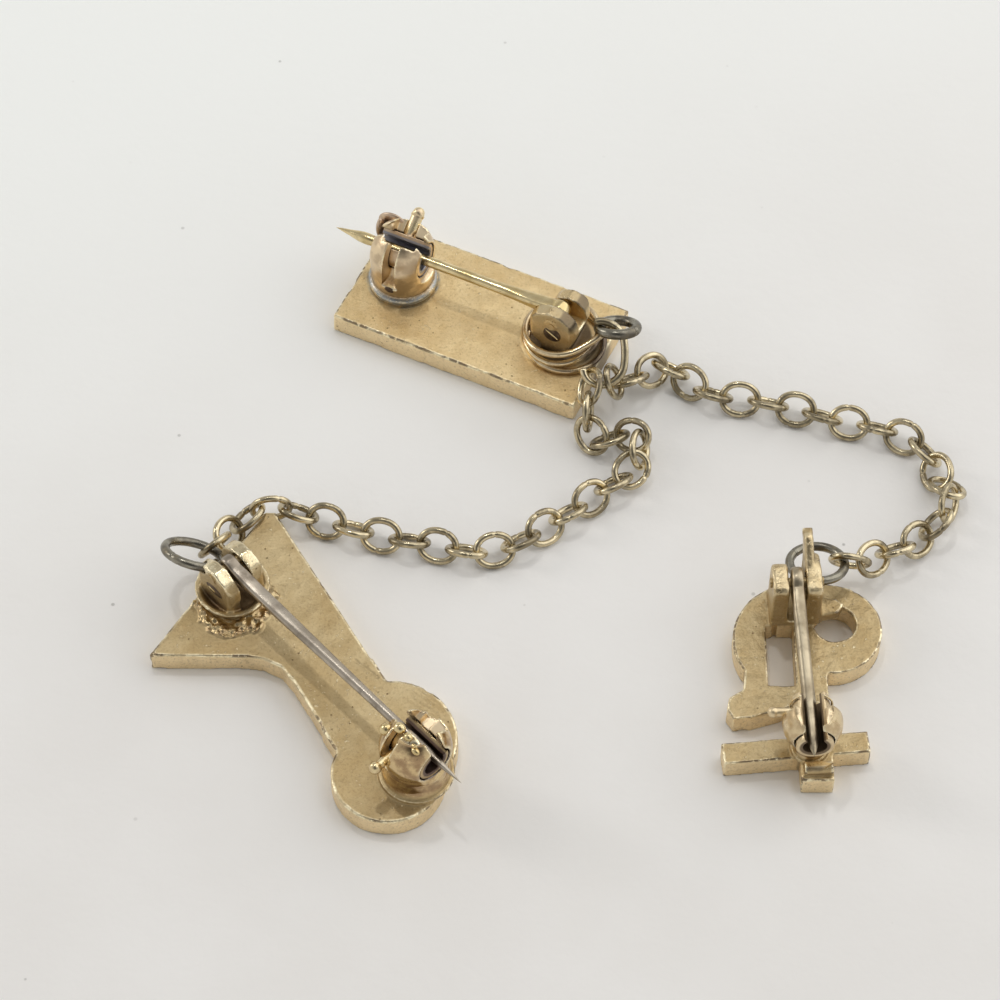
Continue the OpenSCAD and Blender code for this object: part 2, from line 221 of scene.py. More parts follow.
class Value:
    # a socket on which ordinary arithmetic adds Math nodes
    def __init__(self, paint, socket):
        self.paint, self.socket = paint, socket

    def math(self, operation, *others, clamp=False):
        inputs = dict(enumerate([self, *others]))
        return self.paint.node("ShaderNodeMath", {"operation": operation, "use_clamp": clamp}, inputs)

    def turned(self, operation, other):
        # the same with the other value first
        return self.paint.node("ShaderNodeMath", {"operation": operation}, {0: other, 1: self})

    def __add__(self, other):
        return self.math("ADD", other)

    def __radd__(self, other):
        return self.turned("ADD", other)

    def __sub__(self, other):
        return self.math("SUBTRACT", other)

    def __rsub__(self, other):
        return self.turned("SUBTRACT", other)

    def __mul__(self, other):
        return self.math("MULTIPLY", other)

    def __rmul__(self, other):
        return self.turned("MULTIPLY", other)

    def clamp(self):
        return self.math("ADD", 0.0, clamp=True)

    def step(self, low, high):
        # 0 below low, 1 above high
        return self.paint.node("ShaderNodeMapRange", {"interpolation_type": "SMOOTHSTEP"},
                               {"Value": self, "From Min": low, "From Max": high})


class Nodes:
    # a node tree; node() adds a node from its type, its settings and what its sockets get
    def __init__(self, tree):
        self.tree = tree

    def node(self, kind, settings=None, inputs=None, output=0):
        made = self.tree.nodes.new(kind)
        for key, value in (settings or {}).items():
            setattr(made, key, value)
        for key, value in (inputs or {}).items():
            self.feed(made.inputs[key], value)
        return Value(self, made.outputs[output])

    def feed(self, socket, value):
        if isinstance(value, Value):
            self.tree.links.new(value.socket, socket)
        else:
            socket.default_value = value

    def mix(self, factor, a, b):
        # from colour a to colour b
        a, b = [(*c, 1) if isinstance(c, tuple) and len(c) == 3 else c for c in (a, b)]
        return self.node("ShaderNodeMix", {"data_type": "RGBA"}, {0: factor, 6: a, 7: b}, output=2)

    def blend(self, factor, a, b):
        # from number a to number b
        return self.node("ShaderNodeMix", {"data_type": "FLOAT"}, {0: factor, 2: a, 3: b}, output=0)


class Paint(Nodes):
    # one material's nodes
    def __init__(self, name):
        self.material = bpy.data.materials.new(name)
        self.material.use_nodes = True
        super().__init__(self.material.node_tree)
        self.tree.nodes.clear()
        self.shader = self.tree.nodes.new("ShaderNodeBsdfPrincipled")
        output = self.tree.nodes.new("ShaderNodeOutputMaterial")
        self.tree.links.new(self.shader.outputs[0], output.inputs["Surface"])
        coordinates = self.node("ShaderNodeTexCoord", output="Object")
        self.spot = self.node("ShaderNodeVectorMath", {"operation": "SCALE"},
                              {"Vector": coordinates, "Scale": 1 / millimetre})

    def noise(self, scale, detail=3.0, rough=0.55):
        # soft noise with its scale in waves a millimetre, from 0 to 1
        inputs = {"Vector": self.spot, "Scale": scale, "Detail": detail, "Roughness": rough}
        return self.node("ShaderNodeTexNoise", None, inputs)

    def dots(self, scale, size):
        # 1 inside scattered round spots of that share of a cell
        cells = self.node("ShaderNodeTexVoronoi", None, {"Vector": self.spot, "Scale": scale})
        return 1 - cells.step(size * 0.5, size)

    def mask(self, name):
        # the values that addMask gave the mesh
        return self.node("ShaderNodeAttribute", {"attribute_name": name}, output="Fac")

    def finish(self, colour, roughness, height=None, metallic=1.0):
        self.feed(self.shader.inputs["Base Color"], colour)
        self.feed(self.shader.inputs["Roughness"], roughness)
        self.feed(self.shader.inputs["Metallic"], metallic)
        if height:
            inputs = {"Strength": 1.0, "Distance": millimetre, "Height": height}
            self.feed(self.shader.inputs["Normal"], self.node("ShaderNodeBump", None, inputs))
        return self.material


# Finishes

plateLook = {
    "gold": (0.68, 0.50, 0.25), "pale": (0.83, 0.66, 0.38), "brown": (0.33, 0.22, 0.10),
    # the ball's bore takes a dark colour as painted shade
    "bright": (0.98, 0.87, 0.60), "shadedInside": (0.15, 0.13, 0.125),
    # the ball's inner walls take a pale colour as painted light
    "solder": (0.30, 0.32, 0.33), "chip": (0.17, 0.115, 0.07), "litWall": (0.92, 0.76, 0.52),
    # the dark colour of painted shade in the joint's cup and round the hub
    "side": (0.94, 0.77, 0.49), "pad": (0.42, 0.30, 0.17), "paintedShade": (0.22, 0.15, 0.09),
    "roughness": 0.47,
}
# What differs by plate: how bright its flats are, its ball's two colours and roughness, its joint's painted
# facet highlight and how much of it shows, where its edges are chipped (lower is more), how coarse its
# casting is
plateTypes = {
    "bar": {"tone": 0.99, "ball": (0.78, 0.62, 0.41), "ballBrown": (0.57, 0.44, 0.29), "polish": 0.27,
            "joint": (0.56, 0.46, 0.28), "shine": 0.95, "chipped": 0.47, "cast": 0.02,
            # the bar's painted shade colour
            "paintedShade": (0.10, 0.075, 0.055)},
    "fan": {"tone": 0.69, "ball": (0.70, 0.53, 0.29), "ballBrown": (0.40, 0.27, 0.15), "polish": 0.13,
            "joint": (0.98, 0.87, 0.60), "shine": 0.9, "chipped": 0.46, "cast": 0.02},
    "guard": {"tone": 0.68, "ball": (0.76, 0.62, 0.39), "ballBrown": (0.58, 0.44, 0.26), "polish": 0.26,
              "joint": (0.90, 0.76, 0.50), "shine": 0.5, "chipped": 0.42, "cast": 0.10},
}


def plateGold(name, look):
    # satin gold: slow mottling, fine grain, pits, painted glints, dark corners, and bright edges, partly
    # wear and partly painted highlight, some of them chipped dark; masks give the polished ball, painted
    # shade in its bore, painted light on its walls, the grey solder ring, a painted highlight on the
    # joint's facets, the solder pad, and painted shade in the joint's cup and round the hub
    paint = Paint(name)
    gold, pale, brown = [tuple(part * look["tone"] for part in look[key])
                         for key in ("gold", "pale", "brown")]
    litWall, side, pad, paintedShade = [paint.mask(key) for key in ("litWall", "side", "pad", "paintedShade")]
    edge, ball, shadedInside = [paint.mask(key) for key in ("edge", "ball", "shadedInside")]
    solder, facet = [paint.mask(key) for key in ("solder", "facet")]
    slow = paint.noise(0.22, 2.0).step(0.35, 0.65)
    patch = paint.noise(0.9, 4.0, 0.6).step(0.3, 0.7)
    fine = paint.noise(5.5, 4.0, 0.65)
    specks = paint.dots(1.9, 0.15) * paint.noise(0.5, 1.0).step(0.5, 0.62)
    grains = paint.noise(13.0, 2.0, 0.7)
    glints = paint.noise(4.2, 2.0, 0.6).step(0.64, 0.7) * paint.noise(0.8, 2.0).step(0.4, 0.62)
    colour = paint.mix(slow * 0.5 + patch * 0.5, gold, pale)
    colour = paint.mix(side * (0.75 + 0.25 * patch), colour, look["side"])
    dirt = fine.step(0.48, 0.74) * 0.36 + grains.step(0.5, 0.8) * 0.2 + specks * 0.7
    colour = paint.mix(dirt.clamp(), colour, brown)
    # painted glints: small bright highlights
    colour = paint.mix(glints * 0.6, colour, look["bright"])
    colour = paint.mix(pad * (0.1 + 0.75 * paint.noise(2.0, 3.0).step(0.45, 0.6)), colour, look["pad"])
    ballTone = paint.mix(paint.noise(1.1, 3.0).step(0.4, 0.62), look["ball"], look["ballBrown"])
    colour = paint.mix(ball, colour, ballTone)
    colour = paint.mix(solder * paint.noise(1.5, 3.0).step(0.25, 0.55), colour, look["solder"])
    colour = paint.mix((edge * -1.0).step(0.1, 0.9) * 0.6, colour, brown)
    # bright edges: partly wear, partly painted highlight
    wornAndSheen = edge.step(0.25, 0.8) * (0.35 + 0.65 * paint.noise(2.2, 3.0).step(0.45, 0.55))
    colour = paint.mix(wornAndSheen, colour, look["bright"])
    chips = edge.step(0.45, 0.75) * paint.noise(0.4, 2.0).step(look["chipped"], look["chipped"] + 0.08)
    chips = chips * paint.noise(2.6, 3.0).step(0.4, 0.5) * (1 - ball)
    colour = paint.mix(chips * 0.8, colour, look["chip"])
    # painted highlight on the joint's facets: bright on the fan and guard, toned down to brown on the bar
    colour = paint.mix(facet * (0.3 + 0.7 * patch) * look["shine"], colour, look["joint"])
    # painted shade: the joint's cup, the hub's shadow and the ears' far sides
    colour = paint.mix(paintedShade * 0.85, colour, look["paintedShade"])
    # painted light on the ball's inner walls
    colour = paint.mix(litWall, colour, look["litWall"])
    # painted shade in the ball's bore
    colour = paint.mix(shadedInside, colour, look["shadedInside"])
    satin = look["roughness"] + (fine - 0.5) * 0.16 - edge.step(0.3, 0.9) * 0.16
    polished = ball.math("MAXIMUM", facet).math("MAXIMUM", pad * 0.8)
    roughness = paint.blend(polished, satin, look["polish"] + patch * 0.08)
    roughness = paint.blend(solder, roughness, 0.34)
    roughness = paint.blend(litWall, roughness, 0.45)
    height = (fine * 0.02 + grains * 0.008 + glints * 0.03 - specks * 0.05) * (1 - 0.85 * ball)
    height = height + pad * paint.noise(2.6, 3.0) * 0.06
    height = height + paint.noise(1.7, 3.0) * look["cast"] * (1 - ball)
    return paint.finish(colour, roughness.clamp(), height)


def plainMetal(name, look):
    # a wire's finish: two tones in soft patches, tarnish, fine drawn grain, and painted shade, partly a
    # dark film, where a mask gives it
    paint = Paint(name)
    patch = paint.noise(look["patch"], 3.0, 0.6).step(0.35, 0.65)
    dirt = paint.noise(look["patch"] * 2.3, 4.0, 0.65).step(0.52, 0.72) * look["dirt"]
    grain = paint.noise(14.0, 2.0, 0.6)
    colour = paint.mix(dirt, paint.mix(patch, look["light"], look["dark"]), look["tarnish"])
    if "shadeAndFilm" in look:
        # painted shade, partly a dark film, where the mask gives it
        colour = paint.mix(paint.mask("shadeAndFilm") * (0.6 + 0.4 * patch), colour, look["shadeAndFilm"])
    roughness = look["roughness"] + patch * look["spread"] + dirt * 0.12
    return paint.finish(colour, roughness, grain * look["grain"])


wireLooks = {
    "brightGold": {"light": (0.86, 0.71, 0.41), "dark": (0.63, 0.49, 0.24), "tarnish": (0.25, 0.18, 0.08),
                   "patch": 0.5, "dirt": 0.35, "roughness": 0.16, "spread": 0.08, "grain": 0.003},
    "nickel": {"light": (0.50, 0.44, 0.36), "dark": (0.31, 0.265, 0.21), "tarnish": (0.14, 0.11, 0.085),
               "patch": 0.45, "dirt": 0.5, "roughness": 0.27, "spread": 0.1, "grain": 0.004},
    "roseWire": {"light": (0.90, 0.74, 0.47), "dark": (0.56, 0.43, 0.27), "tarnish": (0.2, 0.12, 0.08),
                 "patch": 0.6, "dirt": 0.4, "roughness": 0.15, "spread": 0.1, "grain": 0.003,
                 # the colour of painted shade, partly a dark film
                 "shadeAndFilm": (0.13, 0.10, 0.075)},
    "gunmetal": {"light": (0.30, 0.28, 0.225), "dark": (0.14, 0.125, 0.10), "tarnish": (0.33, 0.27, 0.17),
                 "patch": 0.7, "dirt": 0.45, "roughness": 0.2, "spread": 0.14, "grain": 0.005},
    "antiqueBrass": {"light": (0.70, 0.60, 0.40), "dark": (0.27, 0.225, 0.145),
                     "tarnish": (0.085, 0.07, 0.06), "patch": 0.55, "dirt": 0.6, "roughness": 0.16,
                     "spread": 0.13, "grain": 0.005},
    "paleBrass": {"light": (0.56, 0.48, 0.34), "dark": (0.34, 0.28, 0.19), "tarnish": (0.14, 0.11, 0.08),
                  "patch": 0.5, "dirt": 0.5, "roughness": 0.3, "spread": 0.1, "grain": 0.006},
    "roseSatin": {"light": (0.62, 0.48, 0.35), "dark": (0.46, 0.34, 0.25), "tarnish": (0.24, 0.17, 0.12),
                  "patch": 0.6, "dirt": 0.3, "roughness": 0.34, "spread": 0.1, "grain": 0.006},
    # dark discs painted as the shade in small hollows
    "hollowShade": {"light": (0.24, 0.18, 0.13), "dark": (0.11, 0.08, 0.06), "tarnish": (0.05, 0.035, 0.03),
               "patch": 1.2, "dirt": 0.5, "roughness": 0.38, "spread": 0.12, "grain": 0.01},
}


def sleeveMetal(name, look):
    # polished brown metal, gold on the lever, with painted shade inside it: blue-grey on the bar, dark
    # brown on the others
    paint = Paint(name)
    shadedInside, lever = paint.mask("shadedInside"), paint.mask("lever")
    patch = paint.noise(0.8, 3.0, 0.6).step(0.35, 0.65)
    colour = paint.mix(patch, look["light"], look["dark"])
    # painted shade inside the sleeve
    colour = paint.mix(shadedInside, colour, look["shadedInside"])
    colour = paint.mix(lever, colour, paint.mix(patch, look["gold"], look["light"]))
    roughness = look["roughness"] + patch * 0.1 + shadedInside * 0.14
    return paint.finish(colour, roughness, paint.noise(14.0, 2.0, 0.6) * 0.004)


sleeveLooks = {
    "bar": {"light": (0.70, 0.55, 0.38), "dark": (0.54, 0.41, 0.28), "shadedInside": (0.34, 0.34, 0.38),
            "gold": (0.84, 0.70, 0.42), "roughness": 0.27},
    # the fan's sleeve is darkened overall: painted shade so that it merges with the shaded mouth of its
    # ball
    "fan": {"light": (0.52, 0.39, 0.21), "dark": (0.36, 0.26, 0.14), "shadedInside": (0.13, 0.088, 0.07),
            "gold": (0.86, 0.71, 0.42), "roughness": 0.2},
    "guard": {"light": (0.74, 0.60, 0.38), "dark": (0.56, 0.43, 0.26), "shadedInside": (0.19, 0.14, 0.09),
              "gold": (0.90, 0.76, 0.50), "roughness": 0.28},
}
finishes = {name: plainMetal(name, look) for name, look in wireLooks.items()}
for name, differences in plateTypes.items():
    finishes[name + "_plate"] = plateGold(name + "_gold", {**plateLook, **differences})
    finishes[name + "_sleeve"] = sleeveMetal(name + "_catch", sleeveLooks[name])


# Floor, lights and camera

studio = {
    "tilt": 35.0, "lens": 122.4, "eye": (0.0, -130.01, 185.68), "floorHalf": 900.0, "floorDrop": 0.02,
    "low": (0.80, 0.79, 0.77), "high": (0.44, 0.44, 0.44), "dark": (0.05, 0.05, 0.05), "darkness": 0.85,
    "towardsEye": (0.0, -0.574, 0.819), "litToward": (-0.35, 0.94, 0.0),
    "paper": (0.865, 0.845, 0.815), "palePaper": (0.905, 0.89, 0.865), "litPaper": (0.95, 0.965, 0.94),
    "fleck": (0.40, 0.385, 0.36),
}
# Panel lamps: their place and sides in millimetres, their power in watts and their colour
lamps = {
    "windowLight": {"at": (280, 130, 330), "size": (560, 560), "power": 1.05, "colour": (1.0, 0.99, 0.97)},
    "sideLight": {"at": (-330, 120, 200), "size": (90, 160), "power": 0.22, "colour": (1.0, 0.97, 0.94)},
    "sparkLight": {"at": (-60, 130, 420), "size": (22, 22), "power": 0.16, "colour": (1.0, 1.0, 1.0)},
}


def floorFinish():
    # matt paper in two tones with a few flecks, and painted light that makes it a little paler towards the
    # far side
    paint = Paint("whitePaper")
    fleck = paint.dots(0.35, 0.06) * paint.noise(0.08, 2.0).step(0.5, 0.62)
    tone = paint.mix(paint.noise(0.05, 4.0).step(0.3, 0.7), studio["paper"], studio["palePaper"])
    along = paint.node("ShaderNodeVectorMath", {"operation": "DOT_PRODUCT"},
                       {0: paint.spot, 1: studio["litToward"]}, output="Value")
    # painted light: the paper turns paler towards the far side
    tone = paint.mix(along.step(-10.0, 60.0), tone, studio["litPaper"])
    colour = paint.mix(fleck * 0.75, tone, studio["fleck"])
    return paint.finish(colour, 0.75, paint.noise(1.2, 4.0) * 0.03, metallic=0.0)


def makeFloor():
    # a large square sheet just under the object
    half, z = studio["floorHalf"], -studio["floorDrop"]
    points = np.array([[-half, -half, z], [half, -half, z], [half, half, z], [-half, half, z]])
    mesh = bpy.data.meshes.new("floor")
    mesh.from_pydata((points * millimetre).tolist(), [], [(0, 1, 2, 3)])
    mesh.materials.append(floorFinish())
    floor = bpy.data.objects.new("floor", mesh)
    bpy.context.scene.collection.objects.link(floor)


def makeLight(name, look):
    # a panel lamp that faces the middle of the table
    lamp = bpy.data.lights.new(name, "AREA")
    lamp.shape = "RECTANGLE"
    lamp.size, lamp.size_y = [side * millimetre for side in look["size"]]
    lamp.energy, lamp.color = look["power"], look["colour"]
    holder = bpy.data.objects.new(name, lamp)
    bpy.context.scene.collection.objects.link(holder)
    spot = np.array(look["at"], float)
    backwards = unit(spot)
    right = unit(np.cross((0, 0, 1), backwards) + np.array([1e-6, 0, 0]))
    up = np.cross(backwards, right)
    matrix = np.eye(4)
    matrix[:3, :3] = np.stack([right, up, backwards], 1)
    matrix[:3, 3] = spot * millimetre
    holder.matrix_world = Matrix(matrix.tolist())


def makeCamera():
    # the camera in front of the object and above it; at a tilt of 0 it would look straight down
    camera = bpy.data.cameras.new("camera")
    camera.lens, camera.clip_start, camera.clip_end = studio["lens"], 0.01, 10.0
    holder = bpy.data.objects.new("camera", camera)
    holder.location = (np.array(studio["eye"]) + sheetShift * (1, 1, 0)) * millimetre
    holder.rotation_euler = (math.radians(studio["tilt"]), 0, 0)
    bpy.context.scene.collection.objects.link(holder)
    bpy.context.scene.camera = holder


def makeRoom(look):
    # the room's light by direction: palest low down, and dark where the camera looks from
    world = bpy.data.worlds.new("room")
    world.use_nodes = True
    nodes = Nodes(world.node_tree)
    direction = nodes.node("ShaderNodeTexCoord", output="Generated")
    up = nodes.node("ShaderNodeSeparateXYZ", None, {0: direction}, output=2)
    towards = nodes.node("ShaderNodeVectorMath", {"operation": "DOT_PRODUCT"},
                         {0: direction, 1: look["towardsEye"]}, output="Value")
    tone = nodes.mix(up.step(0.1, 0.8), look["low"], look["high"])
    tone = nodes.mix(towards.step(0.82, 0.97) * look["darkness"], tone, look["dark"])
    nodes.feed(world.node_tree.nodes["Background"].inputs["Color"], tone)
    bpy.context.scene.world = world


makeFloor()
for name, look in lamps.items():
    makeLight(name, look)
makeCamera()
makeRoom(studio)
bpy.context.scene.view_settings.view_transform = "Standard"
print("studio ready")


# Chains, rings and coil

def looseParts(node):
    # the points of each separate solid of a CAD node: points that share an edge take the lower label until
    # nothing changes
    mesh = frame["nodes"][node].data
    points = readPoints(mesh) / millimetre
    same = np.unique(np.round(points, 3), axis=0, return_inverse=True)[1].ravel()
    edges = same[readEdges(mesh)]
    label = np.arange(same.max() + 1)
    while True:
        lowest = label[edges].min(1)
        after = label.copy()
        np.minimum.at(after, edges.ravel(), np.repeat(lowest, 2))
        after = after[after]
        if (after == label).all():
            break
        label = after
    mark = label[same]
    return [points[mark == value] for value in np.unique(mark)]


def ownFrame(points):
    # middle, and rows along the longest, the middle and the thinnest way through the points
    spread = np.cov((points - points.mean(0)).T)
    axes = np.linalg.eigh(spread)[1].T[::-1]
    own = points @ axes.T
    middle = (own.min(0) + own.max(0)) / 2
    return middle @ axes, axes, own.max(0) - own.min(0)


def oval(length, width, square, count):
    # points evenly spaced round an oval: an ellipse where square is 2, fuller at its corners above that
    angle = np.linspace(0, 2 * math.pi, 721)
    x = length / 2 * np.sign(np.cos(angle)) * np.abs(np.cos(angle)) ** (2 / square)
    y = width / 2 * np.sign(np.sin(angle)) * np.abs(np.sin(angle)) ** (2 / square)
    run = np.concatenate([[0], np.cumsum(np.hypot(np.diff(x), np.diff(y)))])
    even = np.arange(count) / count * run[-1]
    return np.stack([np.interp(even, run, x), np.interp(even, run, y), np.zeros(count)], 1)


chainLook = {"cadWire": 0.4, "wire": 0.45, "rows": 96, "sides": 16, "square": 2.12, "length": 7.5,
             "seamDepth": 0.24, "seamWidth": 0.07, "seamSpread": 0.06,
             "wobble": 0.008, "bend": 0.02, "uneven": 0.015, "seed": 11}


def makeLink(points, look, chance):
    # a closed oval of wire fitted to the CAD link, with the notch of its join on one long side
    middle, axes, size = ownFrame(points)
    count = look["rows"]
    path = oval(size[0] - look["cadWire"], size[1] - look["cadWire"], look["square"], count)
    turns = np.arange(count) / count * 2 * math.pi
    wave = 1 + look["wobble"] * np.sin(2 * turns + chance.uniform(0, 6))
    path = path * (wave + look["wobble"] * chance.normal() * 0.5)[:, None]
    path[:, 2] += look["bend"] * np.sin(turns + chance.uniform(0, 6))
    seam = chance.choice([0.25, 0.75]) + chance.uniform(-look["seamSpread"], look["seamSpread"])
    gap = (np.arange(count) / count - seam + 0.5) % 1 - 0.5
    notch = 1 - look["seamDepth"] * np.exp(-(gap * look["length"] / look["seamWidth"]) ** 2)
    wire = look["wire"] / 2 * notch * (1 + look["uneven"] * np.sin(3 * turns + chance.uniform(0, 6)))
    ring, faces = sweep(path, (0, 0, 1), wire, wire, look["sides"], closed=True)
    return middle + ring @ axes, faces


def joinShapes(shapes):
    # several point and face arrays as one
    start = np.cumsum([0] + [len(points) for points, _ in shapes])
    return np.concatenate([points for points, _ in shapes]), np.concatenate(
        [faces + offset for (_, faces), offset in zip(shapes, start)])


def makeChain(node):
    # one chain's links, each fitted to its CAD link and all joined in one mesh
    chance = np.random.default_rng(chainLook["seed"])
    shapes = [makeLink(part, chainLook, chance) for part in looseParts(node)]
    mesh = tidyMesh(node + "_wire", *joinShapes(shapes))
    place(node + "_wire", mesh, finishes["antiqueBrass"], "root", node)


ringLook = {"cadWire": 0.55, "rows": 160, "sides": 24, "seamDepth": 0.22, "seamWidth": 0.06}
# The wire's thickness in each dark ring, and the share of its length where its join is
rings = {"fan_ring": (0.6, 0.3), "guard_ring": (0.6, 0.1), "bar_ring": (0.72, 0.6)}


def makeRing(node, look, thickness, seam):
    # a round ring fitted to the CAD ring, with the cut of its join
    middle, axes, size = ownFrame(readPoints(frame["nodes"][node].data) / millimetre)
    count, length = look["rows"], math.pi * size[0]
    path = oval(size[0] - look["cadWire"], size[1] - look["cadWire"], 2, count)
    gap = (np.arange(count) / count - seam + 0.5) % 1 - 0.5
    notch = 1 - look["seamDepth"] * np.exp(-(gap * length / look["seamWidth"]) ** 2)
    wire = thickness / 2 * notch
    points, faces = sweep(path, (0, 0, 1), wire, wire, look["sides"], closed=True)
    mesh = tidyMesh(node + "_wire", middle + points @ axes, faces)
    place(node + "_wire", mesh, finishes["gunmetal"], "root", node)


coilLook = {
    "radius": 2.5, "at": (4.2, 12.2), "from": -110.0, "to": 800.0, "z": 2.28, "pitch": 1.0, "tilt": 0.3,
    "floor": 2.12, "tailFrom": 750.0, "tailTurn": 48.0, "tailReach": 0.95, "tailLift": 0.56,
    "wire": 0.45, "rows": 600, "sides": 16,
    "firstReach": 0.14, "firstDrop": 0.27, "firstFrom": 40.0, "firstTo": 250.0, "firstMove": (0.3, -0.2),
    # where the coil's side towards the hub darkens with painted shade, partly a dark film
    "shadeFrom": 1.6, "shadeFull": 2.4, "shadeTop": 2.9, "shadeSlant": 0.35,
}


def makeWire(name, path, thickness, sides, finish, endRows=4):
    # an open length of wire, its last rows at both ends thinning as a quarter circle
    rows = len(path)
    ends = np.minimum(np.arange(rows), np.arange(rows)[::-1]) / endRows
    wire = thickness / 2 * np.sqrt(1 - (1 - np.clip(ends, 0, 1)) ** 2)
    points, faces = sweep(path, (0, 0, 1), wire, wire, sides)
    mesh = tidyMesh(name + "_wire", points, faces)
    place(name + "_wire", mesh, finishes[finish], "root", name)
    return mesh


def makeCoil(look):
    # a tilted helix that climbs by pitch a turn; its first turn is wider and lower, past tailFrom it swings
    # out and lifts, and the side towards the hub is darkened with painted shade, partly a dark film
    turn = np.linspace(look["from"], look["to"], look["rows"])
    tail = np.maximum(0, turn - look["tailFrom"]) / look["tailTurn"]
    angle = np.radians(turn - 90)
    lift = look["z"] + look["pitch"] * (turn - 360) / 360 + look["tilt"] * np.cos(angle)
    first = smooth(look["firstTo"], look["firstFrom"], turn)
    z = look["tailLift"] * tail ** 3 + np.maximum(look["floor"], lift) - look["firstDrop"] * first
    reach = look["radius"] + look["tailReach"] * tail ** 2 + look["firstReach"] * first
    x, y = [look["at"][k] + look["firstMove"][k] * first for k in (0, 1)]
    path = np.stack([x + reach * np.cos(angle), y + reach * np.sin(angle), z], 1)
    path = path + sheetShift * (1, 1, 0)
    mesh = makeWire("wire_coil", path, look["wire"], look["sides"], "roseWire")
    points = readPoints(mesh) / millimetre - sheetShift * (1, 1, 0)
    # darker towards the hub: painted shade, partly a dark film
    shadeAndFilm = smooth(look["shadeFrom"], look["shadeFull"], points[:, 0] - look["shadeSlant"] * points[:, 1])
    addMask(mesh, "shadeAndFilm", shadeAndFilm * smooth(look["shadeTop"] + 0.3, look["shadeTop"], points[:, 2]))


hubLook = {"at": (6.79, 9.3, 3.94), "slope": 36.6, "half": 0.95, "radius": 1.2,
           "bow": 0.42, "wire": 0.52, "rows": 120, "sideRows": 24, "sides": 20, "from": 112.0}


def makeHub(look):
    # an open link: part of a ring, a side that bows out as a parabola, and a half ring, on a sloping plane
    angle = np.linspace(math.radians(look["from"]), -math.pi, look["rows"])
    x, y = look["radius"] * np.cos(angle), look["radius"] * np.sin(angle)
    side = np.linspace(look["half"], -look["half"], look["sideRows"])[1:-1]
    top, bottom = angle > 0, angle <= 0
    x = np.concatenate([x[top], np.full(len(side), look["radius"]), x[bottom]])
    y = np.concatenate([y[top] + look["half"], side, y[bottom] - look["half"]])
    x = x + look["bow"] * np.clip(1 - (y / (look["half"] + look["radius"])) ** 2, 0, 1) * (x > 0)
    slope = math.radians(look["slope"])
    path = np.stack([x, y * math.cos(slope), y * math.sin(slope)], 1) + look["at"]
    path = path + sheetShift * (1, 1, 0)
    makeWire("hub_ring", path, look["wire"], look["sides"], "antiqueBrass")


makeChain("left_chain")
makeChain("right_chain")
for node, (thickness, seam) in rings.items():
    makeRing(node, ringLook, thickness, seam)
makeHub(hubLook)
makeCoil(coilLook)
print("chains, rings and coil made")


# Pins

# "half" is the half width at the distances "at" from the rivet; "ogive" swells the point before it thins.
pinLooks = {
    "bar": {"length": 17.0, "point": 3.0, "eye": 0.7, "finish": "brightGold", "slot": "bright_gold",
            "blunt": 1.9, "ogive": 0.22,
            "at": (0, 1.6, 4.2, 8, 17), "half": (0.49, 0.48, 0.41, 0.36, 0.35)},
    "fan": {"length": 22.0, "point": 3.4, "eye": 0.7, "finish": "nickel", "slot": "pin_nickel",
            "blunt": 1.5, "ogive": 0.0,
            "at": (0, 5, 9, 14, 22), "half": (0.46, 0.44, 0.38, 0.31, 0.29)},
    "guard": {"length": 12.9, "point": 2.0, "eye": 1.0, "finish": "paleBrass", "slot": "pin_nickel",
              "blunt": 2.4, "ogive": 0.0,
              "at": (0, 1.5, 4, 8, 12.9), "half": (0.4, 0.41, 0.43, 0.42, 0.42)},
}
# The eye's round back goes this share of half a turn, and its neck thins over neckLength.
pinCut = {"backArc": 0.62, "backRows": 22, "rows": 150, "sides": 24, "neckShare": 0.72, "neckLength": 3.0,
          "square": 2.2, "eyeSquare": 2.6, "ogiveShare": 1.6}


def makePin(name, look):
    # the pin as one section carried from the back of its eye to its point: boxy at the eye, round along the
    # wire, and thinning to a blunt curve at the point
    cut = pinCut
    origin, axes = seat(name + "_pin_hinge")
    eye, length, wire = look["eye"], look["length"], look["half"][-1]
    back = -eye * np.cos(np.linspace(0, math.pi * cut["backArc"], cut["backRows"]))
    rest = np.linspace(back[-1], length, cut["rows"])[1:]
    x = np.concatenate([back, rest])
    disc = np.sqrt(np.clip(eye ** 2 - x ** 2, 0, None))
    neck = wire + (eye * cut["neckShare"] - wire) * (1 - smooth(0, cut["neckLength"], x))
    height = np.where(x < 0, disc, np.maximum(disc, neck))
    width = np.interp(x, look["at"], look["half"])
    width = width * np.where(x < 0, np.clip(disc / eye, 0.0, 1) ** 0.3, 1)
    t = np.clip((x - length + look["point"]) / look["point"], 0, 1)
    swell = 1 + look["ogive"] * np.sin(math.pi * np.clip(t * cut["ogiveShare"], 0, 1))
    sharp = swell * (1 - t ** look["blunt"])
    path = np.stack([x, np.zeros_like(x), np.zeros_like(x)], 1)
    square = cut["square"] + cut["eyeSquare"] * (1 - smooth(0.5, look["at"][2], x))
    points, faces = sweep(path, (0, 0, 1), width * sharp, height * sharp, cut["sides"], square)
    mesh = tidyMesh(name + "_pin_wire", origin + points @ axes, faces)
    place(name + "_pin_wire", mesh, finishes[look["finish"]], name + "_pin", name + "_pin")


for name, look in pinLooks.items():
    makePin(name, look)
print("pins made")


# Plates, with their catches and joints in one soldered piece

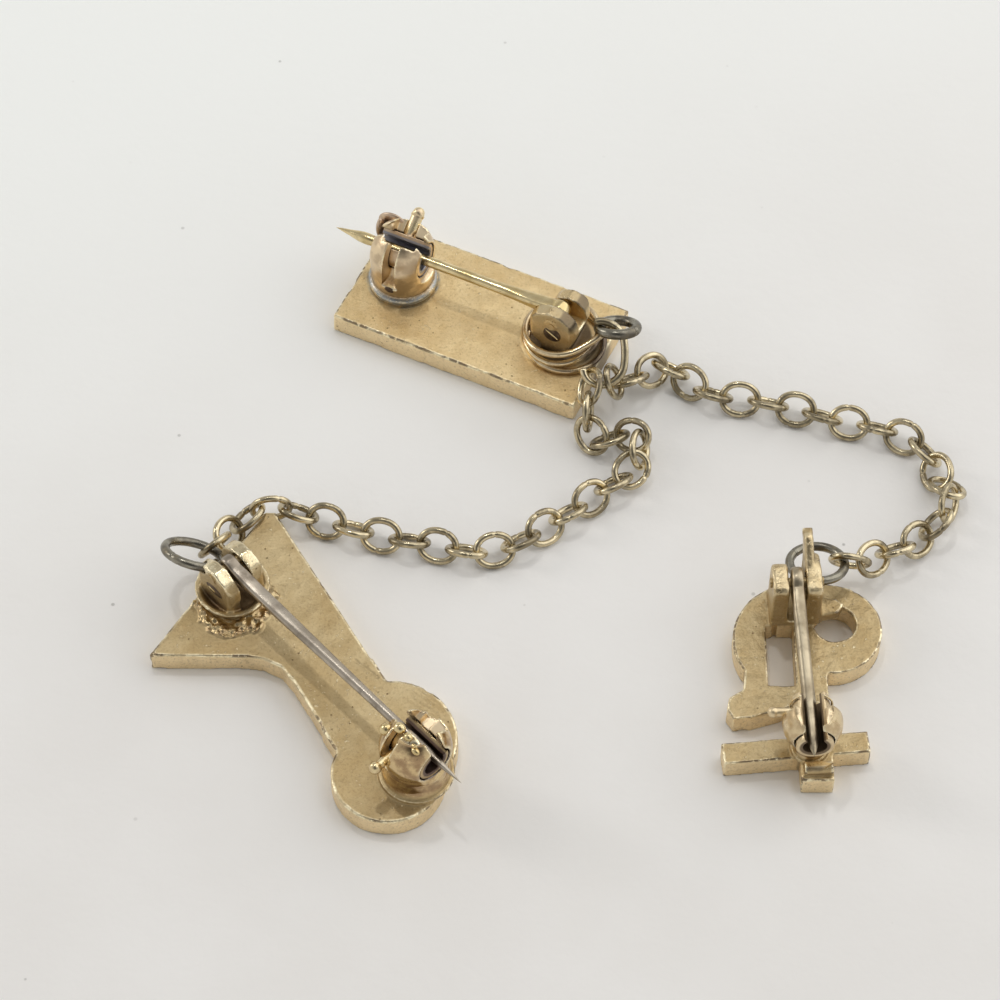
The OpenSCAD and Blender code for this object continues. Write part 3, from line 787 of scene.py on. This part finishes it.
# "shell" is the ball's outer radius by its height above the table, "ring" the solder ring's radius and
# height, and "cup" how far the painted shade on the cup's floor reaches from the rivet; ears hold each
# ear's radius, middle ahead of the rivet and drop below it.
plateLooks = {
    "bar": {"cell": 0.08, "ball": 2.3, "base": 2.05, "sway": 0.025, "earRounds": 0, "seed": 3, "cup": 2.3,
            "ears": ((1.75, 0, 0.6), (1.3, -0.45, 0.6)), "ring": (2.42, 0.62),
            "shell": ((1.6, 2.3, 3.6, 4.6, 9), (2.0, 2.14, 2.22, 2.3, 0))},
    "fan": {"cell": 0.085, "ball": 2.3, "base": 2.25, "sway": 0.025, "earRounds": 0, "seed": 5, "cup": 2.05,
            "ears": ((1.75, 0, 1.1), (1.75, 0, 1.1)), "ring": (2.42, 0.3),
            "shell": ((1.6, 2.4, 3.2, 4.6, 9), (2.3, 2.05, 2.0, 2.3, 0))},
    "guard": {"cell": 0.07, "ball": 1.9, "base": 1.05, "sway": 0.05, "earRounds": 36, "seed": 8, "cup": 0,
              "ears": (), "ring": (0, 0),
              "shell": ((1.6, 2.2, 3.2, 4.6, 9), (1.1, 1.05, 1.2, 1.9, 0))},
}
# The same on all three: the plate's thickness and the ball's bore, the ears' facets, the rounds of
# smoothing, how far the ring of solder swells, and how edges are found and nicked
plateCut = {"thick": 1.6, "bore": 1.25, "facets": 11, "facetTurn": 0.3, "facetProud": 1.012, "rounds": 2,
            "ringSwell": 0.22, "edgeShare": 0.11, "nickDepth": 0.16}


def facetRim(local, ears):
    # cuts the round rim of each ear into flat facets: the radius falls to a polygon's
    part = 2 * math.pi / plateCut["facets"]
    for index, (radius, ahead, drop) in enumerate(ears):
        x, z = local[:, 0] - ahead, local[:, 2] + drop
        side = local[:, 1] > 0 if index == 0 else local[:, 1] < 0
        reach = np.hypot(x, z)
        turn = (np.arctan2(z, x) + plateCut["facetTurn"]) % part - part / 2
        flat = radius * math.cos(part / 2) * plateCut["facetProud"] / np.cos(turn)
        pull = side * (z > -0.2) * (np.abs(local[:, 1]) < 2) * (reach > flat) * (reach < radius + 0.15)
        share = np.where(pull, flat / np.maximum(reach, 0.01), 1.0)
        local[:, 0], local[:, 2] = ahead + x * share, z * share - drop
    return local


def roundEdges(name, look, points, edges):
    # facets the ears, then rounds all edges by smoothing, the openwork plate's ears the most
    hinge, axes = seat(name + "_pin_hinge")
    points = hinge + facetRim((points - hinge) @ axes.T, look["ears"]) @ axes
    points = relax(points, edges, plateCut["rounds"])
    local = (points - hinge) @ axes.T
    ear = (np.abs(local[:, 0]) < 3) * (np.abs(local[:, 1]) < 2.6) * (points[:, 2] > plateCut["thick"] + 0.5)
    for _ in range(look["earRounds"]):
        points = points + 0.5 * ear[:, None] * (neighbourMean(points, edges) - points)
    return points + 0.5 * (neighbourMean(points, edges) - points)


def shapeBall(look, own, height):
    # how many times wider the catch's ball gets at each point: its outside goes out to the shell's radius,
    # and at its foot to a ring of solder, which swells as a sine
    around, bore = np.hypot(own[:, 0], own[:, 1]), np.hypot(own[:, 1], own[:, 2])
    outside = (around < look["ball"] + 0.2) * smooth(plateCut["bore"] + 0.1, plateCut["bore"] + 0.35, bore)
    outside = outside * smooth(plateCut["thick"] + 0.02, plateCut["thick"] + 0.2, height) * (around > 0.9)
    outside = outside * smooth(look["ball"] - 0.4, look["ball"] - 0.15, np.linalg.norm(own, axis=1))
    wanted = np.interp(height, *look["shell"])
    ringRadius, ringHeight = look["ring"]
    if ringRadius:
        t = np.clip((height - plateCut["thick"]) / ringHeight, 0, 1)
        ring = ringRadius - plateCut["ringSwell"] * (1 - np.sin(math.pi * t) ** 0.6)
        wanted = np.where(height < plateCut["thick"] + ringHeight, ring, wanted)
    return np.maximum(1, wanted / np.maximum(around, 0.3)) ** outside


fanLook = {
    "padAngles": (-180, -153, -122, -88, -46, -7, 20, 90, 180),
    "padReach": (2.3, 2.7, 3.2, 3.6, 3.3, 2.9, 2.3, 2.2, 2.3), "padRise": 0.2,
    "scratch": ((-9.3, -13.6), (-7.8, -14.9)), "scratchDepth": 0.07, "scratchHalf": 0.12,
    "ridges": (-4.7, -16.9), "ridgeReach": 1.9, "ridgeRise": 0.03, "seed": 21,
}


def fanMarks(points, around, flat):
    # upward moves on the fan's flat back, and where its solder pad is: the pad is lumpy and lies round the
    # joint, and there are a scratch and a few low ridges
    look = fanLook
    reach = np.hypot(around[:, 0], around[:, 1])
    angle = np.degrees(np.arctan2(around[:, 1], around[:, 0]))
    rim = np.interp(angle, look["padAngles"], look["padReach"]) + 0.3 * cloud(points, 2.6, look["seed"])
    pad = smooth(rim + 0.08, rim - 0.08, reach) * flat
    lumps = pad * (0.8 + 0.9 * cloud(points, 3.4, look["seed"] + 1))
    start, end = [np.array(spot) + sheetShift[:2] for spot in look["scratch"]]
    along = np.clip((points[:, :2] - start) @ (end - start) / np.sum((end - start) ** 2), 0, 1)
    off = np.linalg.norm(points[:, :2] - start - along[:, None] * (end - start), axis=1)
    middle = np.array(look["ridges"]) + sheetShift[:2]
    near = smooth(look["ridgeReach"], 0.6, np.linalg.norm(points[:, :2] - middle, axis=1))
    wave = np.sin((points[:, 0] * 0.75 + points[:, 1]) * 7 + 2 * cloud(points, 0.8, look["seed"] + 2))
    rise = look["padRise"] * lumps - look["scratchDepth"] * smooth(look["scratchHalf"], 0.02, off)
    rise = rise + look["ridgeRise"] * wave * near
    return np.stack([0 * rise, 0 * rise, rise * flat], 1), pad


# the bar's painted shadow of the hub: where it lies, its size and darkness, and how dark the painted shade
# on the ears' far sides is
barLook = {"hubShadow": (7.1, 10.5), "hubShadowRadius": 2.0, "hubShadowDepth": 0.85, "rearShade": 0.95, "seed": 7}


def barShade(points, rearward, facet):
    # how dark the bar is painted near the hub: a ragged round painted shadow of the hub, partly a dark
    # film, and painted shade on the sides of its ears that face away from the pin
    look = barLook
    spot = np.array(look["hubShadow"]) + sheetShift[:2]
    off = np.linalg.norm(points[:, :2] - spot, axis=1) + 0.4 * cloud(points, 1.1, look["seed"])
    # painted shadow of the hub, partly a dark film
    hubShadow = smooth(look["hubShadowRadius"], look["hubShadowRadius"] * 0.5, off)
    hubShadow = hubShadow * (points[:, 2] < plateCut["thick"] + 0.2)
    # painted shade on the ears' sides that face away from the pin
    rearShade = smooth(-0.05, 0.4, rearward) * facet * look["rearShade"]
    return np.maximum(look["hubShadowDepth"] * hubShadow, rearShade)


def plateMasks(name, look, points, normals, own, bore):
    # where the finish changes: round the catch by distances from its middle, at the joint by its own frame
    above = points[:, 2] - plateCut["thick"]
    around, away = np.hypot(own[:, 0], own[:, 1]), np.linalg.norm(own, axis=1)
    hinge, axes = seat(name + "_pin_hinge")
    local = (points - hinge) @ axes.T
    # where the bore of the ball takes painted shade
    shadedInside = smooth(plateCut["bore"] + 0.07, plateCut["bore"] + 0.02, bore) * (away < look["ball"] + 0.3)
    # where the ball's inner walls take painted light
    litWall = smooth(look["ball"] - 0.08, look["ball"] - 0.22, away) * smooth(0.9, 1.2, above)
    litWall = litWall * smooth(plateCut["bore"] + 0.02, plateCut["bore"] + 0.1, bore)
    solder = smooth(0.75, 0.55, above) * smooth(-0.02, 0.02, above) * (name == "bar")
    solder = solder * smooth(look["base"] + 0.55, look["base"] + 0.4, around)
    facet = smooth(-0.3, 0.3, local[:, 2]) * (np.abs(local[:, 0]) < 2.6) * (np.abs(local[:, 1]) < 2.4)
    facet = facet * (above > 0.5)
    # painted shade on the floor of the joint's cup
    paintedShade = smooth(look["cup"], look["cup"] - 0.2, np.hypot(local[:, 0], local[:, 1]))
    paintedShade = paintedShade * smooth(1.2, 0.2, above) * (above > -0.05)
    if name == "bar":
        # the bar adds the painted shadow of the hub and painted shade on its ears' far sides
        paintedShade = np.maximum(paintedShade, barShade(points, -(normals @ axes.T)[:, 0], facet))
    return {"shadedInside": shadedInside, "solder": solder, "facet": facet, "litWall": litWall, "paintedShade": paintedShade}


def makePlate(name, look):
    # the CAD plate with its edges and ears rounded and its ball shaped, then dented, pitted and nicked
    mesh = evenCopy(name + "_plate", look["cell"])
    edges = readEdges(mesh)
    points = roundEdges(name, look, readPoints(mesh), edges)
    catch, axes = seat(name + "_sleeve_turn")
    own = (points - catch) @ axes.T
    bore = np.hypot(own[:, 1], own[:, 2])
    own[:, :2] *= shapeBall(look, own, points[:, 2])[:, None]
    points = catch + own @ axes
    writePoints(mesh, points)
    normals = readNormals(mesh)
    edge = np.clip(bulge(points, normals, edges, 2) / (look["cell"] * plateCut["edgeShare"]), -1, 1)
    flat = smooth(0.2, 0.02, np.abs(points[:, 2] - plateCut["thick"]))
    pad = np.zeros(len(points))
    if name == "fan":
        hinge = seat("fan_pin_hinge")[0]
        moves, pad = fanMarks(points, points[:, :2] - hinge[:2], flat)
        points = points + moves
    above = points[:, 2] - plateCut["thick"]
    ball = smooth(look["ball"] + 0.15, look["ball"] + 0.05, np.hypot(own[:, 0], own[:, 1]))
    ball = ball * smooth(0.35, 0.7, above)
    side = smooth(0.6, 0.25, np.abs(normals[:, 2])) * smooth(-0.02, -0.2, above)
    sway = look["sway"] * (cloud(points, 0.35, look["seed"]) + 0.6 * cloud(points, 1.3, look["seed"] + 1))
    nick = np.clip(cloud(points, 1.6, look["seed"] + 2) - 0.3, 0, 1) * np.clip(edge, 0, 1) * (1 - ball)
    points = points + normals * ((flat + side) * sway - nick * plateCut["nickDepth"])[:, None]
    points[:, 2] = np.maximum(points[:, 2], 0)
    writePoints(mesh, points * millimetre)
    masks = {"edge": edge, "ball": ball, "side": side, "pad": pad}
    masks.update(plateMasks(name, look, points, normals, own, bore))
    for key, values in masks.items():
        addMask(mesh, key, values)
    place(name + "_plate_skin", mesh, finishes[name + "_plate"], "root", name + "_plate")
    print(name, "plate", len(mesh.polygons), "faces")


# Distances from the sleeve's axis: up to the inner one it takes painted shade, and past lever it is gold
sleeveCut = {"cell": 0.05, "rounds": 3, "shadedInside": 0.93, "lever": 1.25,
             "stemEnds": (1.3, 2.95), "stemSwell": 0.4}


def makeSleeve(name):
    # the CAD sleeve with its edges rounded off; the stem of the bar's lever is widened along the pin
    cut = sleeveCut
    mesh = evenCopy(name + "_sleeve", cut["cell"])
    points, edges = readPoints(mesh), readEdges(mesh)
    points = relax(points, edges, cut["rounds"])
    catch, axes = seat(name + "_sleeve_turn")
    own = (points - catch) @ axes.T
    reach = np.hypot(own[:, 1], own[:, 2])
    if name == "bar":
        low, top = cut["stemEnds"]
        stem = smooth(low, low + 0.4, reach) * smooth(top, top - 0.35, reach)
        own[:, 0] *= 1 + cut["stemSwell"] * stem
        points = catch + own @ axes
    writePoints(mesh, points * millimetre)
    # painted shade inside the sleeve, and the gold lever
    addMask(mesh, "shadedInside", smooth(cut["shadedInside"] + 0.07, cut["shadedInside"], reach))
    addMask(mesh, "lever", smooth(cut["lever"], cut["lever"] + 0.15, reach))
    finish = finishes[name + "_sleeve"]
    place(name + "_sleeve_skin", mesh, finish, name + "_sleeve", name + "_sleeve")


def blob(middle, radii, axes, rows=16, columns=24):
    # an ellipsoid: a sphere's points by latitude and longitude, stretched along its own axes
    down = np.linspace(0, math.pi, rows)[:, None]
    turn = np.linspace(0, 2 * math.pi, columns, endpoint=False)[None, :]
    x, y, z = np.sin(down) * np.cos(turn), np.sin(down) * np.sin(turn), np.cos(down) + 0 * turn
    return middle + (np.stack([x, y, z], -1).reshape(-1, 3) * radii) @ axes, gridFaces(rows, columns)


# Small soldered details and dark discs of painted shade for hollows: the joint they belong to, their
# middle and radii along the pin, to its left and up, their turn about the left in degrees, and their finish
detailLooks = {
    "bar": (("pin_hinge", (-0.11, 1.5, -0.86), (0.7, 0.06, 0.74), 0, "hollowShade"),
            ("pin_hinge", (-0.11, 1.55, -0.84), (0.6, 0.06, 0.09), 36, "brightGold"),
            ("pin_hinge", (0.0, 1.48, 0.06), (0.56, 0.1, 0.56), 0, "bar_plate"),
            ("sleeve_turn", (1.5, -1.7, 0.3), (1.15, 0.32, 1.1), 0, "roseSatin"),
            ("sleeve_turn", (2.14, -0.98, 0.4), (0.28, 0.42, 0.95), 0, "roseSatin"),
            ("sleeve_turn", (0.0, 2.13, -1.78), (0.36, 0.1, 0.26), 0, "hollowShade")),
    "fan": (("pin_hinge", (0.1, -1.5, -1.23), (0.82, 0.07, 0.46), 0, "hollowShade"),
            ("pin_hinge", (-0.1, -1.55, -1.3), (0.36, 0.05, 0.13), 0, "brightGold"),
            ("pin_hinge", (0.0, -1.48, 0.0), (0.5, 0.1, 0.5), 0, "fan_plate"),
            ("sleeve_turn", (-1.52, -1.04, 1.34), (0.42, 0.42, 0.42), 0, "brightGold"),
            ("sleeve_turn", (-0.68, -0.64, 2.06), (0.42, 0.36, 0.36), 0, "brightGold"),
            ("sleeve_turn", (0.19, -0.72, 2.12), (0.32, 0.26, 0.26), 0, "brightGold"),
            ("sleeve_turn", (0.66, -0.84, 1.96), (0.5, 0.13, 0.13), 24, "brightGold"),
            ("sleeve_turn", (1.06, -0.92, 1.76), (0.34, 0.22, 0.22), 0, "brightGold")),
}


def makeDetails(name, details):
    # ellipsoids placed in their joint's own frame, those of one finish joined
    groups = {}
    for joint, middle, radii, turn, finish in details:
        origin, axes = seat(name + "_" + joint)
        cos, sin = math.cos(math.radians(turn)), math.sin(math.radians(turn))
        turned = np.array([cos * axes[0] + sin * axes[2], axes[1], cos * axes[2] - sin * axes[0]])
        groups.setdefault(finish, []).append(blob(origin + np.array(middle) @ axes, radii, turned))
    for finish, shapes in groups.items():
        label = name + "_" + finish + "_details"
        place(label, tidyMesh(label, *joinShapes(shapes)), finishes[finish], "root")


# The rivets keep their CAD shape and take their plate's finish.
for name, look in plateLooks.items():
    makePlate(name, look)
    makeSleeve(name)
    makeDetails(name, detailLooks.get(name, ()))
    rivet = frame["nodes"][name + "_rivet"].data
    rivet.materials.clear()
    rivet.materials.append(finishes[name + "_plate"])
print("plates and sleeves made")

bpy.context.view_layer.update()
